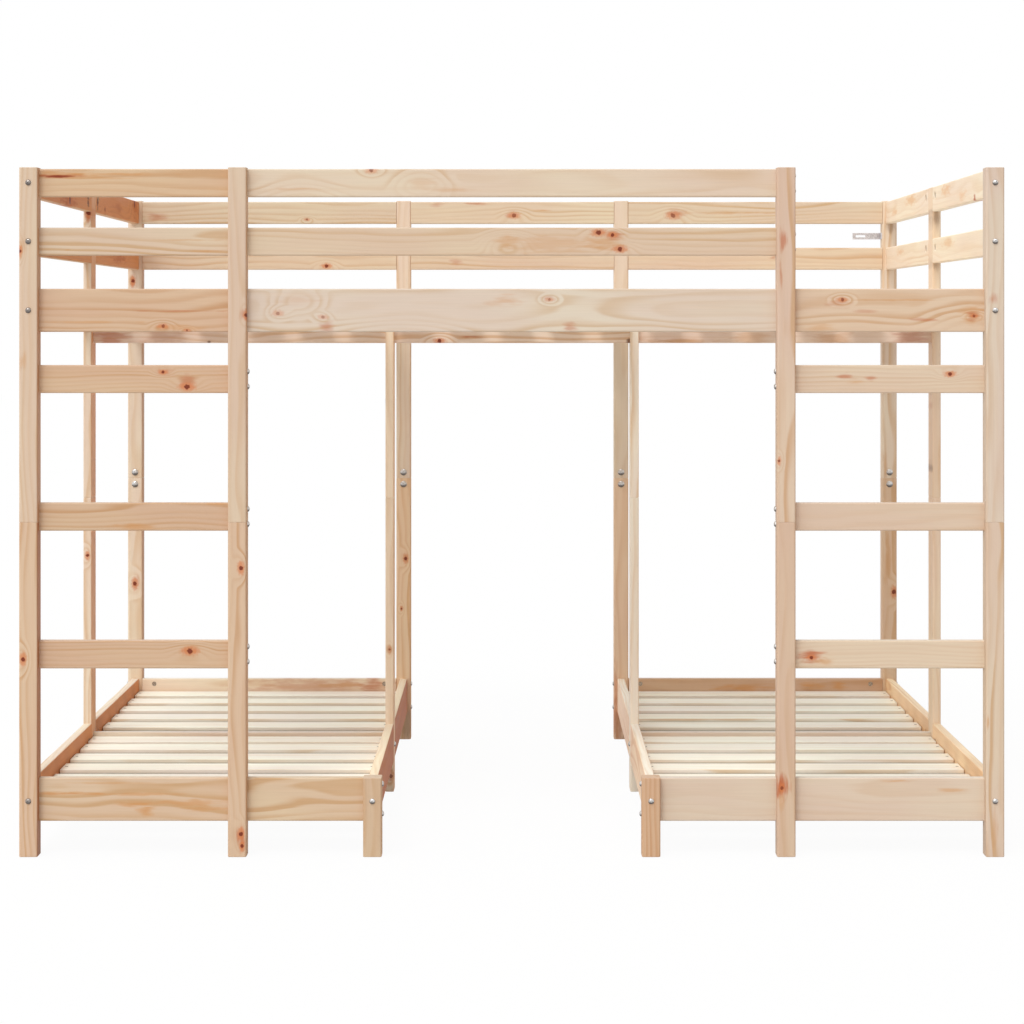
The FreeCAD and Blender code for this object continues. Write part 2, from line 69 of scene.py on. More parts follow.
def feed(tree, socket, source):
    """Joins a socket to an output, or sets its value."""
    if isinstance(source, bpy.types.NodeSocket):
        tree.links.new(source, socket)
    else:
        socket.default_value = source


def node(tree, kind, inputs=None, **settings):
    """A shader node with its settings and inputs."""
    made = tree.nodes.new(kind)
    for name, value in settings.items():
        setattr(made, name, value)
    for name, source in (inputs or {}).items():
        feed(tree, made.inputs[name], source)
    return made


def math_node(tree, operation, *sources, clamp=False):
    """The result of one mathematical operation on one to three numbers."""
    made = tree.nodes.new("ShaderNodeMath")
    made.operation = operation
    made.use_clamp = clamp
    for index, source in enumerate(sources):
        feed(tree, made.inputs[index], source)
    return made.outputs[0]


def times(tree, first, second):
    """The product of two numbers."""
    return math_node(tree, "MULTIPLY", first, second)


def scale_add(tree, source, factor, added):
    """A number times a factor, plus another number."""
    return math_node(tree, "MULTIPLY_ADD", source, factor, added)


def offset(tree, place, centre, unit):
    """How many units a place lies from a centre."""
    return math_node(tree, "DIVIDE", math_node(tree, "SUBTRACT", place, centre), unit)


def length(tree, first, second):
    """The length of a vector with two parts."""
    return math_node(tree, "SQRT", math_node(
        tree, "ADD", times(tree, first, first), times(tree, second, second)))


# The mix node has sockets for every kind of data under the same names: these are for colours
MIX_FACTOR = 0
MIX_FIRST = 6
MIX_SECOND = 7
MIX_RESULT = 2


def mix_colour(tree, factor, first, second, blend="MIX"):
    """Two colours mixed by a factor."""
    made = tree.nodes.new("ShaderNodeMix")
    made.data_type = "RGBA"
    made.blend_type = blend
    feed(tree, made.inputs[MIX_FACTOR], factor)
    feed(tree, made.inputs[MIX_FIRST], first)
    feed(tree, made.inputs[MIX_SECOND], second)
    return made.outputs[MIX_RESULT]


def rescale(tree, source, low, high, new_low=0.0, new_high=1.0):
    """A number moved smoothly from one range to another."""
    made = node(tree, "ShaderNodeMapRange", {
        "Value": source, "From Min": low, "From Max": high, "To Min": new_low, "To Max": new_high},
        interpolation_type="SMOOTHSTEP")
    return made.outputs["Result"]


def point(tree, *sources):
    """A vector from three numbers."""
    return node(tree, "ShaderNodeCombineXYZ", dict(zip("XYZ", sources))).outputs[0]


def dimmed(tree, colour, level):
    """A colour times a number."""
    return mix_colour(tree, 1.0, colour, point(tree, level, level, level), "MULTIPLY")


def noise(tree, vector, scale=1.0, detail=2.0, roughness=0.5):
    """Smooth noise from 0 to 1."""
    made = node(tree, "ShaderNodeTexNoise", {
        "Vector": vector, "Scale": scale, "Detail": detail, "Roughness": roughness})
    return made.outputs["Fac"]


def new_group(name, inputs, outputs):
    """A node group with number or colour sockets."""
    tree = bpy.data.node_groups.new(name, "ShaderNodeTree")
    kinds = {"number": "NodeSocketFloat", "colour": "NodeSocketColor"}
    for socket, kind in inputs:
        tree.interface.new_socket(socket, in_out="INPUT", socket_type=kinds[kind])
    for socket, kind in outputs:
        tree.interface.new_socket(socket, in_out="OUTPUT", socket_type=kinds[kind])
    return tree, tree.nodes.new("NodeGroupInput"), tree.nodes.new("NodeGroupOutput")


# Knots: a dark core in a warm halo, with the year rings bent around them

KNOT_INPUTS = ["Along", "Across", "Centre along", "Centre across", "Radius", "Turns",
               "Core", "Halo", "Warp"]
KNOT_OUTPUTS = ["Core", "Halo", "Warp"]
# By how many rings a knot bends the grain
KNOT_TURNS = 1.8
# The outline is uneven: a noise, with this many waves per metre, times the gain and plus the
# least share, multiplies the radius
WOBBLE_SCALE = 190.0
WOBBLE_GAIN = 1.1
WOBBLE_LEAST = 0.45
# Halo and bend reach further along the grain than across it
LONG_SHARE = 0.5
# Where each part of a knot ends and where it is full, in radii
CORE_EDGE = (1.1, 0.7)
HALO_EDGE = (2.1, 0.7)
BEND_EDGE = (5.0, 0.6)


def knot_group():
    """Adds one knot to the core, the halo and the bend of the grain around it."""
    tree, start, end = new_group("Knot", [(name, "number") for name in KNOT_INPUTS],
                                 [(name, "number") for name in KNOT_OUTPUTS])
    get = start.outputs
    cloud = noise(tree, point(tree, get["Along"], get["Across"], get["Radius"]), WOBBLE_SCALE)
    wobble = scale_add(tree, cloud, WOBBLE_GAIN, WOBBLE_LEAST)
    reach = times(tree, get["Radius"], wobble)
    along = offset(tree, get["Along"], get["Centre along"], reach)
    across = offset(tree, get["Across"], get["Centre across"], reach)
    round_distance = length(tree, along, across)
    long_distance = length(tree, times(tree, along, LONG_SHARE), across)
    core = rescale(tree, round_distance, *CORE_EDGE)
    halo = rescale(tree, long_distance, *HALO_EDGE)
    bend = rescale(tree, times(tree, long_distance, wobble), *BEND_EDGE)
    feed(tree, end.inputs["Core"], math_node(tree, "MAXIMUM", get["Core"], core))
    feed(tree, end.inputs["Halo"], math_node(tree, "MAXIMUM", get["Halo"], halo))
    feed(tree, end.inputs["Warp"], scale_add(tree, bend, get["Turns"], get["Warp"]))
    return tree


# Stains: soft patches of warmer or darker wood, and painted shadows drawn the same way

STAIN_INPUTS = ["Along", "Across", "Centre along", "Centre across", "Half along", "Half across",
                "Strength"]
# The noise per metre along and across the grain, and how far it moves a stain's edge
STAIN_CLOUD_ALONG = 26.0
STAIN_CLOUD_ACROSS = 130.0
STAIN_UNEVENNESS = 2.2
# Where a stain ends and where it is full, in its half sizes
STAIN_EDGE = (1.3, 0.1)


def stain_and_shadow_group():
    """Mixes a colour in over a soft, uneven ellipse."""
    tree, start, end = new_group(
        "Stain and shadow", [(name, "number") for name in STAIN_INPUTS]
        + [("Base", "colour"), ("Stain and shadow", "colour")], [("Colour", "colour")])
    get = start.outputs
    distance = length(tree, offset(tree, get["Along"], get["Centre along"], get["Half along"]),
                      offset(tree, get["Across"], get["Centre across"], get["Half across"]))
    cloud = noise(tree, point(tree, times(tree, get["Along"], STAIN_CLOUD_ALONG),
                              times(tree, get["Across"], STAIN_CLOUD_ACROSS), get["Strength"]))
    uneven = scale_add(tree, cloud, STAIN_UNEVENNESS, math_node(
        tree, "SUBTRACT", distance, STAIN_UNEVENNESS / 2))
    share = times(tree, rescale(tree, uneven, *STAIN_EDGE), get["Strength"])
    feed(tree, end.inputs["Colour"], mix_colour(tree, share, get["Base"], get["Stain and shadow"]))
    return tree


# Pine: year rings around the heart of the tree, fibres, and warm and pale stretches

PINE_NUMBERS = ["Along", "Across", "Through", "Heart across", "Heart through", "Seed", "Rings",
                "Wave", "Bold", "Core", "Warp"]
PINE_COLOURS = ["Warm", "Pale", "Ring", "Streak"]
RINGS_PER_METRE = 115.0
SHIFT_PER_SEED = 7.31
# Noises that are long along the grain: waves per metre along and across it, a shift that keeps
# them apart, detail and roughness
SWELL = (2.6, 11.0, 0.0, 1.5, 0.4)
RIPPLE = (5.0, 36.0, 0.0, 2.0, 0.5)
FADE = (2.4, 18.0, 5.0, 2.0, 0.5)
FIBRE = (9.0, 620.0, 0.0, 3.0, 0.6)
DRIFT = (2.2, 9.0, 9.0, 2.0, 0.5)
STREAK = (1.4, 55.0, 3.0, 3.0, 0.55)
# The range that is used of some of these noises, and the range that it becomes, if not 0 to 1
FADE_RANGE = (0.3, 0.62, 0.3, 1.1)
FIBRE_RANGE = (0.3, 0.72, 1.015, 0.965)
DRIFT_RANGE = (0.34, 0.66)
STREAK_RANGE = (0.5, 0.74)
STREAK_SHARE = 0.4
# The ripple moves the rings by this share of a ring
RIPPLE_RINGS = 0.7
# In each ring the wood darkens between these shares of its width, and then gets light again
LATE_START = 0.25
LATE_PEAK = 0.8
# Some years are bolder than others
YEAR_GAIN = 0.8
YEAR_LEAST = 0.3
# Late wood and knots are smoother than the fibres, and stand out
ROUGH_BASE = 0.5
ROUGH_FIBRE = 0.16
ROUGH_LATE = -0.08
ROUGH_KNOT = -0.12
HEIGHT_LATE = 0.4
HEIGHT_KNOT = 0.6
HEIGHT_FIBRE = 0.5


def pine_group():
    """The colour, roughness and height of pine."""
    tree, start, end = new_group(
        "Pine", [(name, "number") for name in PINE_NUMBERS]
        + [(name, "colour") for name in PINE_COLOURS],
        [("Colour", "colour"), ("Roughness", "number"), ("Height", "number")])
    get = start.outputs
    shift = times(tree, get["Seed"], SHIFT_PER_SEED)

    def grain_noise(run, width, lift, detail, roughness):
        """Noise that is long along the grain."""
        vector = point(tree, scale_add(tree, get["Along"], run, shift),
                       scale_add(tree, get["Across"], width, shift),
                       scale_add(tree, get["Through"], width, lift))
        return noise(tree, vector, 1.0, detail, roughness)

    radius = length(tree, math_node(tree, "SUBTRACT", get["Across"], get["Heart across"]),
                    math_node(tree, "SUBTRACT", get["Through"], get["Heart through"]))
    bent = math_node(tree, "ADD",
                     scale_add(tree, grain_noise(*SWELL), get["Wave"], get["Warp"]),
                     scale_add(tree, grain_noise(*RIPPLE), RIPPLE_RINGS, shift))
    ring_place = scale_add(tree, radius, get["Rings"], bent)
    phase = math_node(tree, "FRACT", ring_place)
    year_number = math_node(tree, "ADD", math_node(tree, "FLOOR", ring_place), get["Seed"])
    year = node(tree, "ShaderNodeTexWhiteNoise", {"W": year_number},
                noise_dimensions="1D").outputs["Value"]
    late = times(tree, rescale(tree, phase, LATE_START, LATE_PEAK),
                 rescale(tree, phase, 1.0, LATE_PEAK))
    strength = scale_add(tree, times(tree, year, year), YEAR_GAIN, YEAR_LEAST)
    fade = rescale(tree, grain_noise(*FADE), *FADE_RANGE)
    line = times(tree, times(tree, late, strength), fade)
    fibre = grain_noise(*FIBRE)
    drift = rescale(tree, grain_noise(*DRIFT), *DRIFT_RANGE)
    streak = rescale(tree, grain_noise(*STREAK), *STREAK_RANGE)
    colour = mix_colour(tree, drift, get["Warm"], get["Pale"])
    colour = mix_colour(tree, math_node(tree, "MULTIPLY", line, get["Bold"], clamp=True), colour,
                        get["Ring"])
    colour = mix_colour(tree, times(tree, streak, STREAK_SHARE), colour, get["Streak"])
    colour = dimmed(tree, colour, rescale(tree, fibre, *FIBRE_RANGE))
    rough = scale_add(tree, fibre, ROUGH_FIBRE, ROUGH_BASE)
    rough = scale_add(tree, late, ROUGH_LATE, rough)
    rough = scale_add(tree, get["Core"], ROUGH_KNOT, rough)
    height = scale_add(tree, get["Core"], HEIGHT_KNOT, times(tree, fibre, HEIGHT_FIBRE))
    height = scale_add(tree, late, HEIGHT_LATE, height)
    feed(tree, end.inputs["Colour"], colour)
    feed(tree, end.inputs["Roughness"], rough)
    feed(tree, end.inputs["Height"], height)
    return tree


KNOT_GROUP = knot_group()
STAIN_AND_SHADOW_GROUP = stain_and_shadow_group()
PINE_GROUP = pine_group()


def group_node(tree, group, inputs):
    """A use of a node group."""
    made = tree.nodes.new("ShaderNodeGroup")
    made.node_tree = group
    for name, source in inputs.items():
        feed(tree, made.inputs[name], source)
    return made


# How far apart the seeds of boards in one node lie: at a cut, and from cell to cell of a lattice
CUT_STEP = 3.17
CELL_STEP = 1.73


def board_seed(tree, axes, base, cuts, lattice):
    """A number that differs from board to board within a node."""
    seed = base
    for axis, place in cuts:
        seed = scale_add(tree, math_node(tree, "GREATER_THAN", axes[axis], place), CUT_STEP, seed)
    if lattice:
        axis, first, pitch = lattice
        cell = math_node(tree, "FLOOR", offset(tree, axes[axis], first, pitch))
        seed = scale_add(tree, cell, CELL_STEP, seed)
    return seed


# How far the heart of the tree lies from the middle of its node, at least, and how much more
HEART_DISTANCE = 0.035
HEART_SPREAD = 0.04
# How the written colour of a board shifts in its warm and pale stretches, rings and streaks
WARM_SHARES = (0.985, 0.955, 0.965)
PALE_SHARES = (1.02, 1.05, 1.03)
RING_SHARES = (0.86, 0.72, 0.56)
STREAK_SHARES = (0.95, 0.86, 0.76)
# How much lighter than the darkest the lightest of several boards of one colour can be
TONE_SPREAD = 0.05
# Painted light and shade: faces that look up are painted paler, and faces that look right get a
# darker, redder painted shade
PAINTED_TOP_LIGHT = (1.04, 1.16, 1.3)
PAINTED_RIGHT_SHADE = (0.96, 0.78, 0.62)
# The part of a face's normal along the axis where the painted tint begins and where it is full
PAINTED_TINT_TURN = (0.5, 0.95)
# How strongly the halo and the core of a knot cover the wood
HALO_SHARE = 0.75
CORE_SHARE = 0.95
PINE_BUMP = {"Strength": 0.3, "Distance": 0.0005}


def paint_face_light_and_shade(tree, colour, lit_top_shares, shaded_right_shares):
    """Paints light and shade as tints on the faces that look up and on those that look right."""
    normal = node(tree, "ShaderNodeNewGeometry").outputs["Normal"]
    split = node(tree, "ShaderNodeSeparateXYZ", {"Vector": normal})
    for output, shares in (("Z", lit_top_shares), ("X", shaded_right_shares)):
        painted_tint_mask = rescale(tree, split.outputs[output], *PAINTED_TINT_TURN)
        painted_tint = mix_colour(tree, 1.0, colour, (*shares, 1.0), "MULTIPLY")
        colour = mix_colour(tree, painted_tint_mask, colour, painted_tint)
    return colour


def knots_and_loops(tree, grain, knots, loops):
    """The core, the halo and the bend of the grain that all knots and swirls make together."""
    state = {output: 0.0 for output in KNOT_OUTPUTS}
    for centre_along, centre_across, radius in knots:
        made = group_node(tree, KNOT_GROUP, {
            **grain, "Centre along": centre_along, "Centre across": centre_across,
            "Radius": radius, "Turns": KNOT_TURNS, **state})
        state = {output: made.outputs[output] for output in KNOT_OUTPUTS}
    for centre_along, centre_across, radius, turns in loops:
        made = group_node(tree, KNOT_GROUP, {
            **grain, "Centre along": centre_along, "Centre across": centre_across,
            "Radius": radius, "Turns": turns, "Warp": state["Warp"]})
        state["Warp"] = made.outputs["Warp"]
    return state


def with_stains_and_shadows(tree, grain, colour, stains_and_shadows):
    """A colour with all stains and painted shadows laid over it."""
    for centre_along, centre_across, half_along, half_across, strength, stain in stains_and_shadows:
        colour = group_node(tree, STAIN_AND_SHADOW_GROUP, {
            **grain, "Centre along": centre_along, "Centre across": centre_across,
            "Half along": half_along, "Half across": half_across, "Strength": strength,
            "Base": colour, "Stain and shadow": linear(stain)}).outputs["Colour"]
    return colour


def new_material(name):
    """A material with its node tree and its shader."""
    material = bpy.data.materials.new(name)
    material.use_nodes = True
    return material, material.node_tree, material.node_tree.nodes["Principled BSDF"]


def pine(name, order, seed, centre, light=PINE, lean=0.5, rings=RINGS_PER_METRE, wave=4.0,
         bold=1.0, cuts=(), lattice=None, knots=(), knot_depth=1.0, loops=(), stains_and_shadows=(),
         shade=None, top=PAINTED_TOP_LIGHT, right=PAINTED_RIGHT_SHADE, sheen=0.35):
    """A pine material for the boards of one node.

    The order names the axes along the grain, across the face and through the wood. The centre is
    the middle of the node. The lean, in radians, says on which side of it the heart of the tree
    lies, wave how far the rings swell, and bold how dark they are. Cuts and a lattice divide a
    node into boards with grain of their own. Shade is painted shade, darker from one height down
    to another. Top and right are painted light and shade for faces that look that way.
    """
    material, tree, shader = new_material(name)
    place = node(tree, "ShaderNodeTexCoord").outputs["Object"]
    split = node(tree, "ShaderNodeSeparateXYZ", {"Vector": place})
    axes = {letter: split.outputs[letter.upper()] for letter in "xyz"}
    along, across, through = (axes[letter] for letter in order)
    grain = {"Along": along, "Across": across}
    own_seed = board_seed(tree, axes, seed, cuts, lattice)
    tone = node(tree, "ShaderNodeTexWhiteNoise", {"W": own_seed},
                noise_dimensions="1D").outputs["Value"]
    state = knots_and_loops(tree, grain, knots, loops)
    heart = scale_add(tree, tone, HEART_SPREAD, HEART_DISTANCE)
    wood = group_node(tree, PINE_GROUP, {
        **grain, "Through": through,
        "Heart across": scale_add(tree, heart, math.sin(lean), centre["xyz".index(order[1])]),
        "Heart through": scale_add(tree, heart, math.cos(lean), centre["xyz".index(order[2])]),
        "Seed": own_seed, "Rings": rings, "Wave": wave, "Bold": bold,
        "Core": state["Core"], "Warp": state["Warp"],
        "Warm": linear(light, WARM_SHARES), "Pale": linear(light, PALE_SHARES),
        "Ring": linear(light, RING_SHARES), "Streak": linear(light, STREAK_SHARES)})
    # Painted light and shade by face direction, then stains and painted shadows
    colour = with_stains_and_shadows(tree, grain, paint_face_light_and_shade(tree, wood.outputs["Colour"], top, right), stains_and_shadows)
    if knots:
        halo = times(tree, state["Halo"], HALO_SHARE * knot_depth)
        core = times(tree, state["Core"], CORE_SHARE * knot_depth)
        colour = mix_colour(tree, halo, colour, linear(KNOT_HALO))
        colour = mix_colour(tree, core, colour, linear(KNOT_CORE))
    level = scale_add(tree, tone, TONE_SPREAD, 1 - TONE_SPREAD / 2)
    # Painted shade: darker from one height down to another
    if shade:
        low, high, least = shade
        level = times(tree, level, rescale(tree, axes["z"], low, high, least, 1.0))
    feed(tree, shader.inputs["Base Color"], dimmed(tree, colour, level))
    feed(tree, shader.inputs["Roughness"], wood.outputs["Roughness"])
    shader.inputs["Specular IOR Level"].default_value = sheen
    bump = node(tree, "ShaderNodeBump", {**PINE_BUMP, "Height": wood.outputs["Height"]})
    feed(tree, shader.inputs["Normal"], bump.outputs["Normal"])
    return material


# Zinc plated steel: a fine cloudy finish with scratches

STEEL_METALLIC = 0.85
# The clouds: waves per metre, detail and roughness of the noise, and the range of it that is used
STEEL_CLOUD = (420.0, 3.0, 0.6)
STEEL_CLOUD_RANGE = (0.35, 0.7)
# The scratches run across Y: waves per metre, roughness of the noise, and what they add to that
# of the steel
SCRATCH_SCALES = (90.0, 2400.0, 90.0)
SCRATCH_NOISE_ROUGHNESS = 0.6
SCRATCH_ROUGHNESS = 0.2
STEEL_BUMP = {"Strength": 0.15, "Distance": 0.0002}
# Bolts in the front left corner, where X and Y add up to less than this, get a darker copy of their
# colour, painted shade
PAINTED_SHADE_CORNER = -1.4
# Painted shade on the undersides of bolts: the upward part of a face's normal where it begins and
# where it is darkest
PAINTED_UNDERSIDE_RANGE = (0.1, -0.4)


def steel(name, light, dark, rough, front=None):
    """Zinc plated steel. A front colour is for bolts: painted shade at the front left and
    underneath.
    """
    material, tree, shader = new_material(name)
    place = node(tree, "ShaderNodeTexCoord").outputs["Object"]
    cloud = noise(tree, place, *STEEL_CLOUD)
    scratch = noise(tree, node(tree, "ShaderNodeMapping", {
        "Vector": place, "Scale": SCRATCH_SCALES}).outputs[0], roughness=SCRATCH_NOISE_ROUGHNESS)
    colour = mix_colour(tree, rescale(tree, cloud, *STEEL_CLOUD_RANGE), linear(light), linear(dark))
    if front:
        axes = node(tree, "ShaderNodeSeparateXYZ", {"Vector": place}).outputs
        # Painted shade: a darker copy of the colour for bolts at the front left
        dull = math_node(tree, "LESS_THAN", math_node(tree, "ADD", axes["X"], axes["Y"]),
                         PAINTED_SHADE_CORNER)
        colour = mix_colour(tree, dull, colour, linear(front))
        # Painted shade on the undersides of bolts
        normal = node(tree, "ShaderNodeNewGeometry").outputs["Normal"]
        upward = node(tree, "ShaderNodeSeparateXYZ", {"Vector": normal}).outputs["Z"]
        colour = mix_colour(tree, rescale(tree, upward, *PAINTED_UNDERSIDE_RANGE), colour, linear(STEEL_PAINTED_UNDERSIDE_SHADE))
    feed(tree, shader.inputs["Base Color"], colour)
    feed(tree, shader.inputs["Roughness"], scale_add(tree, scratch, SCRATCH_ROUGHNESS, rough))
    shader.inputs["Metallic"].default_value = STEEL_METALLIC
    bump = node(tree, "ShaderNodeBump", {**STEEL_BUMP, "Height": scratch})
    feed(tree, shader.inputs["Normal"], bump.outputs["Normal"])
    return material


def dress(name, material):
    """Gives a CAD node its finish."""
    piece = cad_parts[name]
    for index in range(max(1, len(piece.material_slots))):
        if index < len(piece.material_slots):
            piece.material_slots[index].material = material
        else:
            piece.data.materials.append(material)


# Places on the photograph, turned into places on the bed

def photo_depth(depth):
    """How much smaller things look at some depth than at the front faces."""
    return CAMERA_DISTANCE / (CAMERA_DISTANCE + depth - FRONT_FACE)


def photo_x(pixel, depth=FRONT_FACE):
    """The X of a pixel column at some depth."""
    shrink = FRONT_PIXELS_PER_METRE * photo_depth(depth)
    return CAMERA_ALONG + (pixel - VANISHING_POINT[0]) / shrink


def photo_z(pixel, depth=FRONT_FACE):
    """The height of a pixel row at some depth."""
    return CAMERA_RISE - (pixel - VANISHING_POINT[1]) / (
        FRONT_PIXELS_PER_METRE * photo_depth(depth))


# The depths at which the photograph shows the faces of boards and posts
FRONT_BOARD = -0.726
BACK_BOARD = 0.706
BACK_POST = 0.706
MIDDLE_POST = -0.030
BEAM = -0.010


def board_knots(depth, *marks):
    """Knots on a board along X, from pixel column, pixel row and radius in metres."""
    return [(photo_x(column, depth), photo_z(row, depth), radius) for column, row, radius in marks]


def board_loops(depth, *marks):
    """Swirls in the grain of a board: pixel column and row, radius in metres, and added rings."""
    return [(photo_x(column, depth), photo_z(row, depth), radius, turns)
            for column, row, radius, turns in marks]


def post_knots(depth, *marks):
    """Knots on a post, from pixel column, pixel row and radius in metres."""
    return [(photo_z(row, depth), photo_x(column, depth), radius) for column, row, radius in marks]


def board_stains_and_shadows(depth, *marks):
    """Stains and painted shadows on a board along X: pixel column and row, half width and height in
    pixels.
    """
    scale = 1 / (FRONT_PIXELS_PER_METRE * photo_depth(depth))
    return [(photo_x(column, depth), photo_z(row, depth), half_width * scale,
             half_height * scale, strength, colour)
            for column, row, half_width, half_height, strength, colour in marks]


def post_stains_and_shadows(depth, *marks):
    """Stains and painted shadows on a post: pixel column and row, half width and height in pixels.
    """
    scale = 1 / (FRONT_PIXELS_PER_METRE * photo_depth(depth))
    return [(photo_z(row, depth), photo_x(column, depth), half_height * scale,
             half_width * scale, strength, colour)
            for column, row, half_width, half_height, strength, colour in marks]


# The X of the faces of side boards that the photograph shows
LEFT_FACE = -1.0055
RIGHT_FACE = 1.0055
LEFT_AISLE_FACE = -0.298


def side_place(face, column, row):
    """The Y and Z of a pixel on a side board."""
    scale = (column - VANISHING_POINT[0]) / (face - CAMERA_ALONG)
    depth = FRONT_FACE + CAMERA_DISTANCE * (FRONT_PIXELS_PER_METRE / scale - 1)
    return depth, photo_z(row, depth)


def side_knots(face, *marks):
    """Knots on a side board, from pixel column, pixel row and radius in metres."""
    return [(*side_place(face, column, row), radius) for column, row, radius in marks]


def side_stains_and_shadows(face, *marks):
    """Stains and painted shadows on a side board: pixel column and row, then half length and height
    in metres.
    """
    return [(*side_place(face, column, row), *rest) for column, row, *rest in marks]


# Every wooden node with its own grain, knots, stains and painted shadows, whose places are read off
# the photograph

# The axes along the grain, across the face and through the wood, for each way a board lies
FRONT = "xzy"
UPRIGHT = "zxy"
SIDEWAYS = "yzx"
SLAT_ACROSS = "xyz"
SLAT_ALONG_DEPTH = "yxz"
# Where one node has several boards: the cuts between them, or the first place and the pitch
SEAM = 0.703
HALVES = [("y", 0.0)]
BACK_CUTS = [("x", -0.2925), ("x", 0.2925)]
FRONT_BOARD_CUT = 0.576
CLEAT_CUTS = [("x", -0.6), ("x", 0.0), ("x", 0.6)]
RUNG_LATTICE = ("z", 0.3, 0.2903)
TOP_SLAT_LATTICE = ("x", -0.06, 0.12)
# The first middle of a gap between two lower slats, the pitch, and how many on each side
SLAT_GAP_START = 0.0935
SLAT_PITCH = 0.127
SLAT_GAP_COUNT = 5
SLAT_GAPS = [("y", (SLAT_GAP_START + SLAT_PITCH * index) * way)
             for index in range(SLAT_GAP_COUNT) for way in (-1, 1)]
# Painted shade between the lower slats: their edges get darker downwards, from one height to
# another, to what share
LOWER_SLAT_PAINTED_SHADE = (0.1195, 0.1245, 0.35)
# Painted shade for faces that look right, where it differs from that of most boards
POST_SIDE_PAINTED_SHADE = (0.84, 0.60, 0.46)
LOWER_POST_SIDE_PAINTED_SHADE = (0.66, 0.38, 0.25)
INNER_FACE_PAINTED_SHADE = (0.98, 0.62, 0.42)
AISLE_FACE_PAINTED_SHADE = (0.72, 0.34, 0.19)
# Painted light and shade for faces that look up, where it differs from that of most boards
SLAT_TOP_PAINTED_LIGHT = (1.0, 1.075, 1.13)
HIGH_SLAT_TOP_PAINTED_SHADE = (0.83, 0.87, 0.92)
CREAM_TOP_PAINTED_LIGHT = (1.1, 1.46, 1.9)
LEFT_AISLE_TOP_PAINTED_LIGHT = (1.2, 1.46, 1.7)
RIGHT_AISLE_TOP_PAINTED_LIGHT = (1.0, 1.24, 1.5)
# The specular level of the side boards on the left, which the camera sees at a flat angle
INNER_SHEEN = 0.1

